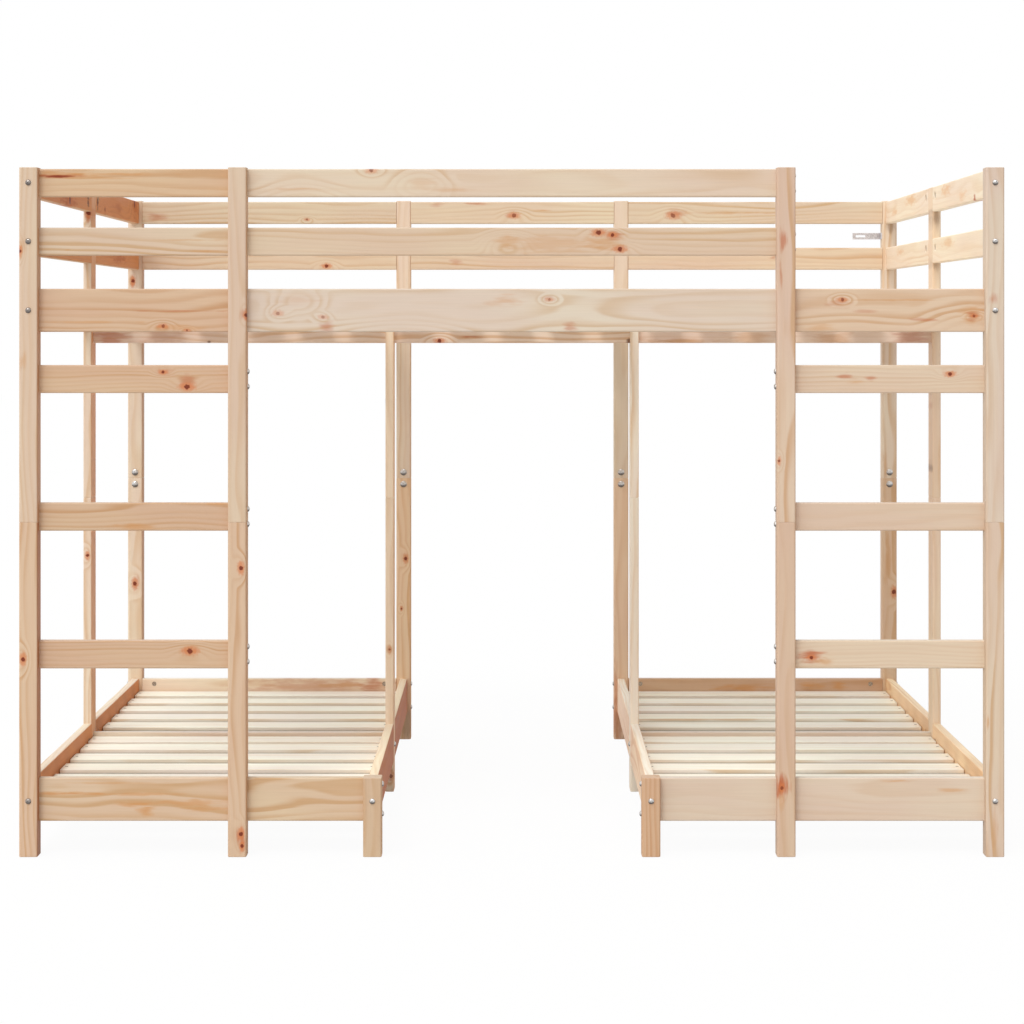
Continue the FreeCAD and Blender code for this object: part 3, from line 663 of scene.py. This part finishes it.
BOARDS = {
    "front_left_top_guard": dict(
        order=FRONT, light=(211, 179, 147), lean=0.5, bold=1.3,
        stains_and_shadows=board_stains_and_shadows(FRONT_BOARD, (60, 174.5, 34, 3.4, 0.8, ORANGE),
                            (56, 176, 26, 2.2, 1.0, RED), (57, 176.2, 19, 1.5, 1.0, DEEP_RED),
                            (120, 174, 50, 1.6, 0.6, ORANGE), (105, 178, 40, 1.4, 0.4, ORANGE))),
    "front_middle_top_guard": dict(
        order=FRONT, light=(220, 200, 178), lean=0.3, bold=0.8,
        knots=board_knots(FRONT_BOARD, (371.3, 170.5, 0.0045)), knot_depth=0.7,
        loops=board_loops(FRONT_BOARD, (422, 184, 0.009, 3.0), (300, 196, 0.012, 2.0)),
        stains_and_shadows=board_stains_and_shadows(FRONT_BOARD, (422, 183, 16, 6, 0.25, ORANGE),
                            (455, 190, 30, 2, 0.3, ORANGE), (295, 189, 26, 1.5, 0.35, ORANGE))),
    "front_left_lower_guard": dict(
        order=FRONT, light=(216, 193, 168), lean=0.7, rings=110.0, wave=4.5, bold=1.4,
        stains_and_shadows=board_stains_and_shadows(FRONT_BOARD, (68, 250, 4, 1.3, 0.5, ORANGE),
                            (206, 251, 20, 1.5, 0.5, ORANGE), (185, 240, 40, 1.2, 0.35, ORANGE))),
    "front_middle_lower_guard": dict(
        order=FRONT, light=(219, 196, 170), lean=1.2, bold=0.8,
        knots=board_knots(FRONT_BOARD, (598.5, 232.5, 0.0055), (612.5, 235, 0.004),
                          (620, 249, 0.0055)),
        loops=board_loops(FRONT_BOARD, (507, 243, 0.008, 4.0)),
        stains_and_shadows=board_stains_and_shadows(FRONT_BOARD, (505, 243, 13, 9, 0.4, ORANGE),
                            (550, 244, 45, 10, 0.32, ORANGE), (604, 241, 20, 10, 0.5, ORANGE),
                            (613, 236, 9, 5, 0.5, RED))),
    "front_left_rail": dict(
        order=FRONT, light=(208, 175, 147), lean=0.8, rings=90.0, bold=1.7,
        knots=board_knots(FRONT_BOARD, (163, 326, 0.004), (187, 330.5, 0.0025)), knot_depth=0.8,
        stains_and_shadows=board_stains_and_shadows(FRONT_BOARD, (176, 328, 26, 3.5, 0.4, ORANGE),
                            (180, 311, 44, 0.9, 0.5, RED), (90, 322, 50, 1.2, 0.45, ORANGE))),
    "front_middle_rail": dict(
        order=FRONT, light=(218, 202, 184), lean=0.15, bold=0.8,
        knots=board_knots(FRONT_BOARD, (277.8, 313.3, 0.0045), (323, 317, 0.0035),
                          (549.5, 299.5, 0.0035)),
        knot_depth=0.5,
        loops=board_loops(FRONT_BOARD, (298, 303, 0.009, 3.0), (400, 345, 0.02, 2.0)),
        stains_and_shadows=board_stains_and_shadows(FRONT_BOARD, (327, 327, 8, 5, 0.55, RED),
                            (300, 300, 20, 5, 0.2, ORANGE), (506, 300, 18, 6, 0.4, ORANGE),
                            (550, 299.5, 8, 3, 0.5, RED), (569, 328, 8, 6, 0.5, RED))),
    "front_right_rail": dict(
        order=FRONT, light=(216, 188, 163), lean=0.6, rings=95.0, wave=5.0, bold=1.5,
        knots=board_knots(FRONT_BOARD, (842.5, 299.5, 0.004), (974, 316, 0.003)), knot_depth=0.8,
        loops=board_loops(FRONT_BOARD, (972, 318, 0.014, 2.4)),
        stains_and_shadows=board_stains_and_shadows(FRONT_BOARD, (972, 314, 12, 11, 0.55, ORANGE),
                            (973.5, 315.5, 7, 6, 0.7, RED), (820, 329, 14, 5, 0.4, ORANGE),
                            (838, 304, 12, 5, 0.35, RED), (925, 320, 16, 2, 0.5, RED),
                            (900, 300, 50, 1.2, 0.5, ORANGE), (865, 311, 14, 2, 0.35, RED))),
    "left_ladder_rungs": dict(
        order=FRONT, light=(210, 178, 148), lean=0.8, bold=1.1, lattice=RUNG_LATTICE,
        knots=board_knots(FRONT_BOARD, (187, 386.8, 0.006), (163, 372, 0.0035),
                          (190, 651, 0.0065)),
        stains_and_shadows=board_stains_and_shadows(FRONT_BOARD, (188, 381, 8, 8, 0.5, RED), (165, 373, 10, 4, 0.3, RED),
                            (136, 526.5, 23, 3.5, 0.65, ORANGE), (215, 504, 10, 1.2, 0.5, ORANGE),
                            (190, 651, 10, 6, 0.45, ORANGE))),
    "right_ladder_rungs": dict(
        order=FRONT, light=(216, 193, 170), lean=0.4, bold=0.55, lattice=RUNG_LATTICE,
        knots=board_knots(FRONT_BOARD, (950, 374, 0.0045), (811.5, 657.5, 0.004)),
        stains_and_shadows=board_stains_and_shadows(FRONT_BOARD, (843, 377, 8, 3, 0.6, RED), (856, 382, 12, 3, 0.5, ORANGE),
                            (870, 378, 6, 3, 0.6, RED), (811, 656.5, 12, 8, 0.85, RED),
                            (824, 661, 10, 5, 0.5, ORANGE))),
    "left_bed_front_boards": dict(
        order=FRONT, light=(213, 187, 158), lean=0.35, rings=95.0, wave=4.5, bold=1.9,
        cuts=[("x", -FRONT_BOARD_CUT)],
        stains_and_shadows=board_stains_and_shadows(FRONT_BOARD, (138, 804, 26, 3, 0.75, ORANGE),
                            (146, 811, 9, 5, 0.75, ORANGE), (70, 793.5, 40, 1.8, 0.8, ORANGE),
                            (130, 794, 44, 1.8, 0.6, ORANGE), (190, 803, 36, 5, 0.6, ORANGE),
                            (205, 809, 22, 3, 0.5, ORANGE), (110, 783, 50, 1.2, 0.4, ORANGE))),
    "right_bed_front_boards": dict(
        order=FRONT, light=(215, 194, 174), lean=0.7, rings=80.0, bold=0.5,
        cuts=[("x", FRONT_BOARD_CUT)],
        stains_and_shadows=board_stains_and_shadows(FRONT_BOARD, (896, 781, 18, 1.5, 0.6, ORANGE),
                            (955, 790, 14, 3, 0.5, ORANGE))),
    "back_top_guards": dict(
        order=FRONT, light=(221, 202, 177), lean=0.9, bold=1.1, cuts=BACK_CUTS, knot_depth=0.75,
        knots=board_knots(BACK_BOARD, (514, 215.5, 0.006), (673, 215.5, 0.007),
                          (306.8, 219.5, 0.003)),
        stains_and_shadows=board_stains_and_shadows(BACK_BOARD, (158, 217, 11, 5, 0.5, RED),
                            (477.5, 203.8, 12, 1.2, 0.6, RED), (437, 205, 6, 3, 0.35, RED),
                            (513.5, 215, 7, 5, 0.4, RED), (675, 214, 9, 6, 0.5, RED),
                            (730, 213, 45, 1.5, 0.5, ORANGE), (544, 210.5, 9, 1.2, 0.5, ORANGE))),
    "back_lower_guards": dict(
        order=FRONT, light=(222, 198, 173), lean=0.6, bold=0.8, cuts=BACK_CUTS,
        knots=board_knots(BACK_BOARD, (326.6, 266, 0.005)),
        stains_and_shadows=board_stains_and_shadows(BACK_BOARD, (456, 263, 7, 4, 0.4, RED),
                            (773, 257.5, 5, 2.5, 0.5, RED))),
    "back_rails": dict(order=FRONT, light=(220, 192, 164), lean=0.4, cuts=BACK_CUTS),
    "left_bed_back_board": dict(
        order=FRONT, light=(232, 212, 190), lean=0.6, right=INNER_FACE_PAINTED_SHADE,
        stains_and_shadows=board_stains_and_shadows(BACK_BOARD, (315, 686, 75, 9, 0.4, RED),
                            (376, 687, 16, 9, 0.5, RED), (340, 685, 24, 3, 0.5, ORANGE))),
    "right_bed_back_board": dict(
        order=FRONT, light=(206, 172, 143), lean=0.3,
        stains_and_shadows=board_stains_and_shadows(BACK_BOARD, (745, 688, 34, 4, 0.7, ORANGE),
                            (812, 685, 12, 4, 0.7, ORANGE), (838, 686, 8, 5, 0.75, ORANGE))),
    "front_left_corner_post": dict(
        order=UPRIGHT, light=(220, 197, 172), lean=0.9, right=POST_SIDE_PAINTED_SHADE,
        lower=dict(light=(214, 184, 156), right=LOWER_POST_SIDE_PAINTED_SHADE),
        knots=post_knots(FRONT_FACE, (19.5, 251, 0.004), (23, 659.5, 0.005)),
        stains_and_shadows=post_stains_and_shadows(FRONT_FACE, (22, 246, 5, 12, 0.4, ORANGE),
                           (22.5, 361, 4, 9, 0.35, ORANGE), (24, 656, 5, 7, 0.35, ORANGE))),
    "front_left_inner_post": dict(
        order=UPRIGHT, light=(217, 193, 169), lean=0.6, bold=0.9,
        lower=dict(light=(212, 181, 154)),
        knots=post_knots(FRONT_FACE, (246, 315, 0.004), (241, 568, 0.005), (241, 834, 0.005),
                         (242, 846, 0.004)),
        stains_and_shadows=post_stains_and_shadows(FRONT_FACE, (243, 314, 4, 6, 0.4, RED), (241.5, 840, 5, 15, 0.7, RED))),
    "front_right_inner_post": dict(
        order=UPRIGHT, light=(215, 189, 167), lean=0.4,
        lower=dict(light=(211, 183, 158)),
        knots=post_knots(FRONT_FACE, (782, 788, 0.004), (779.3, 461, 0.003)), knot_depth=0.8,
        stains_and_shadows=post_stains_and_shadows(FRONT_FACE, (782.5, 240, 4, 13, 0.65, RED),
                           (781, 274, 1.6, 14, 0.6, RED), (782.5, 786, 8, 12, 0.95, RED),
                           (781, 800, 3, 10, 0.4, ORANGE))),
    "front_right_corner_post": dict(
        order=UPRIGHT, light=(216, 196, 178), lean=0.7, bold=1.1,
        lower=dict(light=(215, 193, 171)),
        stains_and_shadows=post_stains_and_shadows(FRONT_FACE, (992.5, 299, 5, 6, 0.5, RED),
                           (988, 722, 1.5, 8, 0.6, ORANGE), (995, 835, 3, 26, 0.35, ORANGE))),
    "back_left_corner_post": dict(
        order=UPRIGHT, light=(228, 208, 186), lean=0.3, right=POST_SIDE_PAINTED_SHADE,
        knots=post_knots(BACK_POST, (135, 583.5, 0.006), (133, 281, 0.005)),
        stains_and_shadows=post_stains_and_shadows(BACK_POST, (133, 283, 3, 6, 0.5, RED), (135, 583, 5, 8, 0.4, RED))),
    "back_left_inner_post": dict(
        order=UPRIGHT, light=(230, 210, 188), lean=0.8, lower=dict(light=(234, 204, 172)),
        knots=post_knots(BACK_POST, (405.7, 558.5, 0.005), (401.5, 608.6, 0.0025)),
        # The umber patch at the foot is painted shadow below the back board of the lower bed
        stains_and_shadows=post_stains_and_shadows(BACK_POST, (409, 724, 8, 20, 0.35, UMBER))),
    "back_right_inner_post": dict(
        order=UPRIGHT, light=(230, 210, 188), lean=0.5, lower=dict(light=(233, 200, 172)),
        # Both red patches are painted shadow on the foot of the post, beside and below the boards
        # of the lower bed
        stains_and_shadows=post_stains_and_shadows(BACK_POST, (617, 722, 8, 26, 0.5, RED),
                           (616, 690, 4, 30, 0.4, RED))),
    "back_right_corner_post": dict(
        order=UPRIGHT, light=(232, 212, 190), lean=0.6, lower=dict(light=(221, 190, 160)),
        knots=post_knots(BACK_POST, (894, 592, 0.006)),
        # The umber patch near the top is painted shadow under the guard; the orange ones are warmer
        # wood
        stains_and_shadows=post_stains_and_shadows(BACK_POST, (891, 226, 5, 8, 0.35, UMBER), (885, 465, 3, 14, 0.4, ORANGE),
                           (888, 560, 4, 28, 0.5, ORANGE))),
    "left_foot_post": dict(order=UPRIGHT, light=(210, 182, 152), lean=0.5, bold=1.2),
    "right_foot_post": dict(order=UPRIGHT, light=(205, 167, 136), lean=0.9, bold=1.2),
    "left_middle_post": dict(
        order=UPRIGHT, light=(231, 210, 188), cuts=[("z", SEAM)], lean=0.8,
        right=INNER_FACE_PAINTED_SHADE,
        knots=post_knots(MIDDLE_POST, (87.5, 555.5, 0.004), (88.5, 213, 0.006)),
        stains_and_shadows=post_stains_and_shadows(MIDDLE_POST, (92.6, 472, 0.8, 15, 0.95, UMBER),
                           (92.6, 545, 0.8, 16, 0.9, UMBER), (88.5, 217, 2.5, 6, 0.8, RED))),
    "right_middle_post": dict(
        order=UPRIGHT, light=(240, 216, 190), cuts=[("z", SEAM)], lean=0.5,
        # The first two umber patches, near the top, are painted shadow under the guards
        stains_and_shadows=post_stains_and_shadows(MIDDLE_POST, (936, 218, 4.5, 12, 0.5, UMBER),
                           (936, 264, 4.5, 8, 0.35, UMBER), (931.8, 411, 0.8, 10, 0.9, RED),
                           (931.8, 467, 0.8, 8, 0.8, UMBER))),
    "left_aisle_post": dict(
        order=UPRIGHT, light=(243, 219, 195), cuts=[("z", SEAM)], lean=0.6, knot_depth=0.75,
        knots=post_knots(MIDDLE_POST, (389.5, 649.5, 0.003), (391, 776, 0.005)),
        stains_and_shadows=post_stains_and_shadows(MIDDLE_POST, (389.5, 649.5, 5, 5, 0.5, ORANGE))),
    "right_aisle_post": dict(
        order=UPRIGHT, light=(248, 234, 218), cuts=[("z", SEAM)], lean=0.7),
    "top_middle_beam": dict(
        order=FRONT, light=(236, 213, 195), cuts=BACK_CUTS, bold=1.6, lean=0.5,
        knots=board_knots(BEAM, (439.5, 341, 0.005)),
        # The red and umber patches are painted shadows of the slats above; the orange ones are
        # warmer wood
        stains_and_shadows=board_stains_and_shadows(BEAM, (110, 337, 17, 14, 0.6, RED), (165, 337, 26, 12, 0.3, RED),
                            (209, 342, 2, 1.5, 0.8, UMBER), (832, 338, 20, 9, 0.5, ORANGE),
                            (912, 337, 17, 12, 0.5, RED),
                            (472, 337, 12, 1.2, 0.8, RED), (629, 341.5, 3, 3, 0.9, UMBER),
                            (680, 340.5, 40, 2.5, 0.6, ORANGE), (750, 338, 24, 7, 0.4, ORANGE))),
    "lower_middle_beams": dict(order=FRONT, light=(220, 202, 184), cuts=[("x", 0.0)], bold=0.6),
    "top_cleats": dict(order=FRONT, cuts=HALVES + BACK_CUTS, lean=0.6),
    "lower_cleats": dict(order=SIDEWAYS, cuts=CLEAT_CUTS, lean=0.6),
    "left_side_top_guards": dict(
        order=SIDEWAYS, light=(222, 182, 146), cuts=HALVES, lean=0.4, right=INNER_FACE_PAINTED_SHADE,
        sheen=INNER_SHEEN,
        knots=side_knots(LEFT_FACE, (70, 200, 0.011), (134.5, 204, 0.012), (105, 209.5, 0.006)),
        stains_and_shadows=side_stains_and_shadows(LEFT_FACE, (69, 203, 0.1, 0.02, 0.8, RED),
                           # The two umber marks beside the middle post are painted shade for the
                           # dark insides of the nut holes
                           (88.3, 202, 0.014, 0.016, 0.9, UMBER),
                           (97.6, 202, 0.014, 0.016, 0.9, UMBER),
                           (135, 205, 0.05, 0.03, 0.7, RED), (118, 208, 0.07, 0.012, 0.5, RED))),
    "left_side_lower_guards": dict(
        order=SIDEWAYS, light=(224, 188, 152), cuts=HALVES, lean=0.7, right=INNER_FACE_PAINTED_SHADE,
        sheen=INNER_SHEEN,
        stains_and_shadows=side_stains_and_shadows(LEFT_FACE, (120, 258, 0.12, 0.014, 0.6, RED))),
    "left_side_rails": dict(
        order=SIDEWAYS, light=(214, 178, 146), cuts=HALVES, lean=0.3, right=INNER_FACE_PAINTED_SHADE,
        sheen=INNER_SHEEN),
    "left_bed_outer_side_boards": dict(
        order=SIDEWAYS, light=(222, 184, 150), cuts=HALVES, lean=0.5, right=INNER_FACE_PAINTED_SHADE,
        top=CREAM_TOP_PAINTED_LIGHT, sheen=INNER_SHEEN),
    "left_bed_aisle_side_boards": dict(
        order=SIDEWAYS, light=(230, 198, 164), cuts=HALVES, top=LEFT_AISLE_TOP_PAINTED_LIGHT,
        right=AISLE_FACE_PAINTED_SHADE, sheen=INNER_SHEEN,
        stains_and_shadows=side_stains_and_shadows(LEFT_AISLE_FACE, (392, 735, 0.2, 0.02, 0.4, RED),
                           (388, 760, 0.14, 0.025, 0.5, RED))),
    "right_side_top_guards": dict(
        order=SIDEWAYS, light=(248, 232, 210), cuts=HALVES, lean=0.6, bold=0.8,
        stains_and_shadows=side_stains_and_shadows(RIGHT_FACE, (911, 200, 0.1, 0.014, 0.6, HONEY),
                           (946, 190, 0.06, 0.014, 0.6, HONEY), (895, 212, 0.05, 0.01, 0.5, HONEY),
                           (962, 195, 0.05, 0.012, 0.5, HONEY),
                           (974.5, 197.5, 0.014, 0.01, 0.9, RED))),
    "right_side_lower_guards": dict(
        order=SIDEWAYS, light=(248, 232, 208), cuts=HALVES, lean=0.5, bold=0.8,
        stains_and_shadows=side_stains_and_shadows(RIGHT_FACE, (948, 243, 0.08, 0.01, 0.5, HONEY),
                           (900, 252, 0.06, 0.01, 0.45, HONEY))),
    "right_side_rails": dict(order=SIDEWAYS, light=(226, 202, 174), cuts=HALVES, lean=0.8),
    "right_bed_outer_side_boards": dict(
        order=SIDEWAYS, light=(248, 214, 174), cuts=HALVES, lean=0.4, bold=1.2),
    "right_bed_aisle_side_boards": dict(
        order=SIDEWAYS, light=(248, 218, 190), cuts=HALVES, top=RIGHT_AISLE_TOP_PAINTED_LIGHT),
    "top_slats": dict(
        order=SLAT_ALONG_DEPTH, light=SLAT, lean=0.4, lattice=TOP_SLAT_LATTICE,
        top=HIGH_SLAT_TOP_PAINTED_SHADE),
    "left_bed_slats": dict(
        order=SLAT_ACROSS, light=SLAT, lean=0.4, cuts=SLAT_GAPS, shade=LOWER_SLAT_PAINTED_SHADE,
        top=SLAT_TOP_PAINTED_LIGHT),
    "right_bed_slats": dict(
        order=SLAT_ACROSS, light=SLAT, lean=0.6, cuts=SLAT_GAPS, shade=LOWER_SLAT_PAINTED_SHADE,
        top=SLAT_TOP_PAINTED_LIGHT),
}
STEELS = {
    "frame_bolts": steel("bolt_steel", STEEL_LIGHT, STEEL_DARK, rough=0.25, front=STEEL_PAINTED_FRONT_SHADE),
    "barrel_nuts": steel("nut_steel", NUT_LIGHT, NUT_DARK, rough=0.4),
    "rods_and_pins": steel("rod_steel", STEEL_LIGHT, STEEL_DARK, rough=0.3),
    "wood_screws": steel("screw_steel", SCREW_GREY, STEEL_DARK, rough=0.38),
    "wall_strap": steel("strap_steel", STRAP_LIGHT, STRAP_DARK, rough=0.3),
}


def family(name):
    """The looks of a node. The two lengths of a post share one entry, but for what differs."""
    looks = dict(BOARDS.get(name) or BOARDS[name.removesuffix("_lower").removesuffix("_upper")])
    lower = looks.pop("lower", {})
    if name.endswith("_lower"):
        looks.update(lower)
    return looks


def middle(name):
    """The middle of a node's box."""
    low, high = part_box(name)
    return [(one + other) / 2 for one, other in zip(low, high)]


# How far apart the seeds of nodes lie
SEED_STEP = 2.39

for index, name in enumerate(sorted(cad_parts)):
    if name in STEELS:
        dress(name, STEELS[name])
    else:
        dress(name, pine("pine_" + name, seed=index * SEED_STEP, centre=middle(name),
                         **family(name)))


# Floor, light and camera

FLOOR_SIZE = 60.0
# The share of plain white in what the camera sees of the floor, and how light the rest of it is
# for the camera and for the light that the floor throws back
FLOOR_GLOW_SHARE = 0.95
FLOOR_WHITE = 0.86
FLOOR_BOUNCE = 0.65
SKY_COLOUR = (1.0, 0.985, 0.965, 1.0)
# The level of the sky, how it changes along each axis, and the least it gets
SKY_LEVEL = 0.685
SKY_GAINS = {"X": -0.56, "Y": -0.2, "Z": 0.25}
SKY_LEAST = 0.2
SUN_ENERGY = 1.25
SUN_PLACE = (-1.4, -3.3, 5.0)
# How wide the lamp looks, in degrees: the wider, the softer its shadows
SUN_ANGLE = 22


def white_for_camera(tree, dull, white_kind, output_kind, white_share=1.0):
    """Shows plain white to the camera and to mirrors, and something duller to all other rays."""
    path = node(tree, "ShaderNodeLightPath")
    seen = math_node(tree, "MAXIMUM", path.outputs["Is Camera Ray"], math_node(
        tree, "MAXIMUM", path.outputs["Is Glossy Ray"], path.outputs["Is Transmission Ray"]))
    white = node(tree, white_kind, {"Color": (1, 1, 1, 1), "Strength": 1.0})
    mixed = node(tree, "ShaderNodeMixShader", {
        0: times(tree, seen, white_share), 1: dull.outputs[0], 2: white.outputs[0]})
    node(tree, output_kind, {"Surface": mixed.outputs[0]})


def make_floor():
    """A plain white floor that keeps a soft shadow."""
    half = FLOOR_SIZE / 2
    mesh = bpy.data.meshes.new("floor")
    corners = [(-half, -half, 0), (half, -half, 0), (half, half, 0), (-half, half, 0)]
    mesh.from_pydata(corners, [], [(0, 1, 2, 3)])
    floor = bpy.data.objects.new("floor", mesh)
    bpy.context.scene.collection.objects.link(floor)
    material = bpy.data.materials.new("floor_white")
    material.use_nodes = True
    tree = material.node_tree
    tree.nodes.clear()
    seen = node(tree, "ShaderNodeLightPath").outputs["Is Camera Ray"]
    shade = scale_add(tree, seen, FLOOR_WHITE - FLOOR_BOUNCE, FLOOR_BOUNCE)
    dull = node(tree, "ShaderNodeBsdfDiffuse", {"Color": point(tree, shade, shade, shade)})
    white_for_camera(tree, dull, "ShaderNodeEmission", "ShaderNodeOutputMaterial",
                     FLOOR_GLOW_SHARE)
    mesh.materials.append(material)


def make_world():
    """Soft light, stronger from above, from the left and from the front, seen as white."""
    world = bpy.data.worlds.new("studio")
    bpy.context.scene.world = world
    world.use_nodes = True
    tree = world.node_tree
    tree.nodes.clear()
    way = node(tree, "ShaderNodeSeparateXYZ", {
        "Vector": node(tree, "ShaderNodeTexCoord").outputs["Generated"]})
    level = SKY_LEVEL
    for output, gain in SKY_GAINS.items():
        level = scale_add(tree, way.outputs[output], gain, level)
    level = math_node(tree, "MAXIMUM", level, SKY_LEAST)
    dull = node(tree, "ShaderNodeBackground", {"Color": SKY_COLOUR, "Strength": level})
    white_for_camera(tree, dull, "ShaderNodeBackground", "ShaderNodeOutputWorld")


def make_key_light():
    """One lamp, high in front of the bed and a little to the left, aimed at the origin."""
    lamp = bpy.data.lights.new("key", "SUN")
    lamp.energy = SUN_ENERGY
    lamp.angle = math.radians(SUN_ANGLE)
    key = bpy.data.objects.new("key", lamp)
    key.location = SUN_PLACE
    bpy.context.scene.collection.objects.link(key)
    key.rotation_euler = key.location.to_track_quat("Z", "Y").to_euler()


def make_camera():
    """The photograph's view: level, straight at the front."""
    data = bpy.data.cameras.new("camera")
    data.sensor_width = SENSOR_WIDTH
    data.lens = FRONT_PIXELS_PER_METRE * CAMERA_DISTANCE / PHOTO_SIDE * SENSOR_WIDTH
    data.shift_x = (PHOTO_SIDE / 2 - VANISHING_POINT[0]) / PHOTO_SIDE
    data.shift_y = (VANISHING_POINT[1] - PHOTO_SIDE / 2) / PHOTO_SIDE
    camera = bpy.data.objects.new("camera", data)
    camera.location = (CAMERA_ALONG, FRONT_FACE - CAMERA_DISTANCE, CAMERA_RISE)
    camera.rotation_euler = (math.radians(90), 0, 0)
    bpy.context.scene.collection.objects.link(camera)
    bpy.context.scene.camera = camera


make_floor()
make_world()
make_key_light()
make_camera()
bpy.context.scene.view_settings.view_transform = "Standard"
